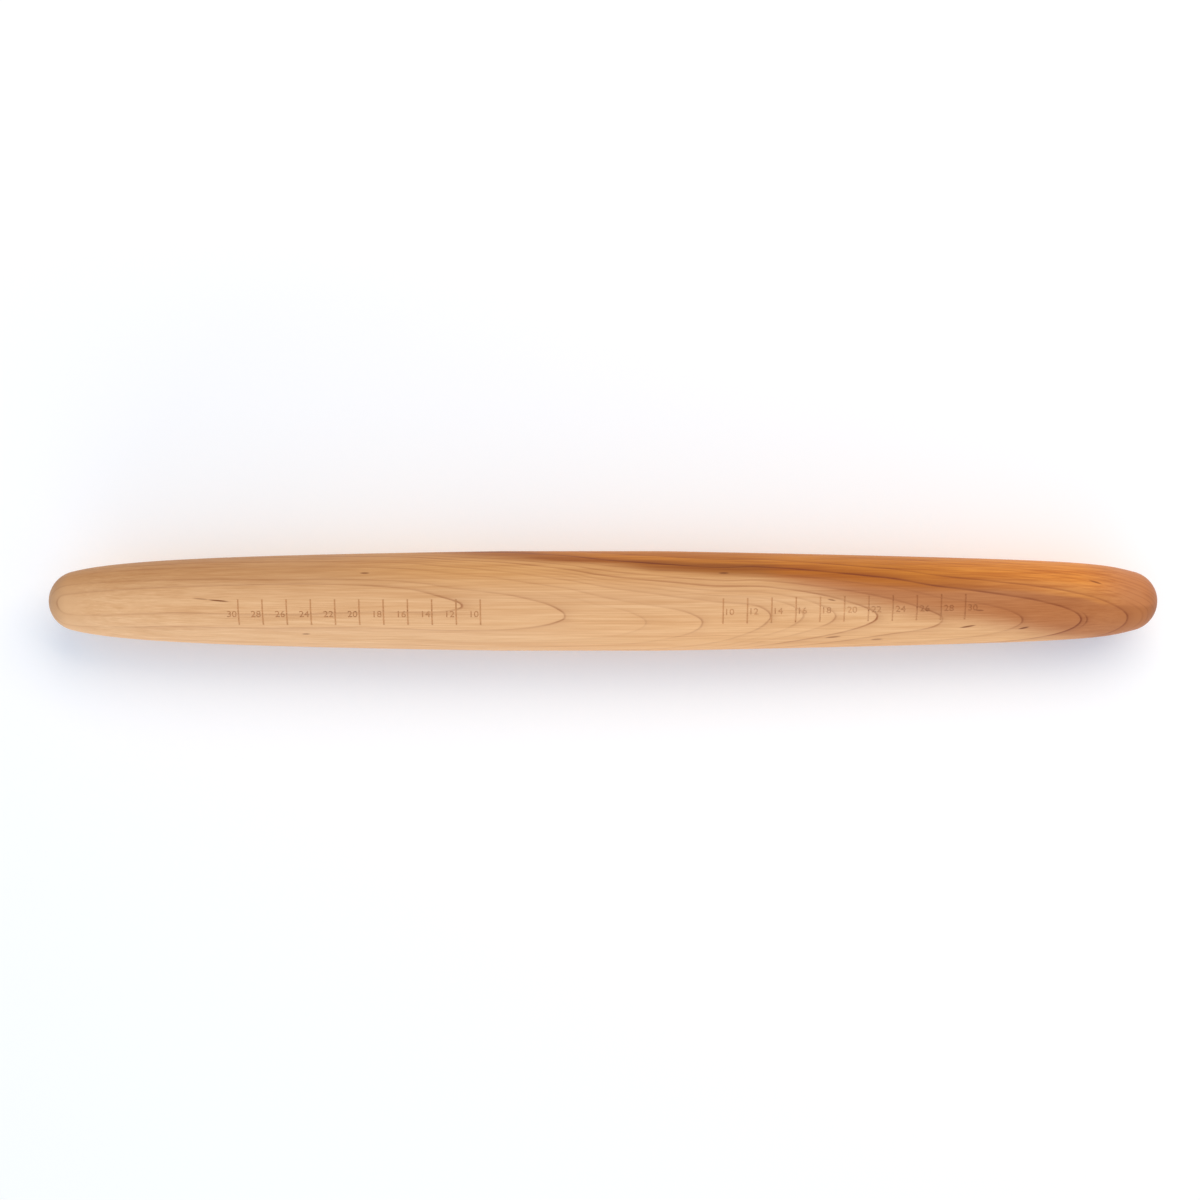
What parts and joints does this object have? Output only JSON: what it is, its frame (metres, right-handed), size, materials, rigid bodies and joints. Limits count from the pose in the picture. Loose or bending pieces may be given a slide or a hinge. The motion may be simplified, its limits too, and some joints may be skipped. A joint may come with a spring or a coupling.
{
  "type": "french rolling pin",
  "caption": "Handleless turned hardwood rolling pin with a straight belly, a long taper to each side, domed noses and an engraved diameter scale.",
  "frame": {"origin": "on the turning axis, midway between the tips of the two noses", "axes": "+X along the turning axis, towards the slimmer taper on the right of the picture; +Z out of the engraved side, towards the viewer; +Y towards the top of the picture"},
  "size_m": [0.465, 0.0418, 0.0418],
  "materials": {
    "maple": "sanded and oiled hardwood, satin"
  },
  "bodies": {
    "root": {"tapered_pin": "maple"}
  },
  "joints": []
}
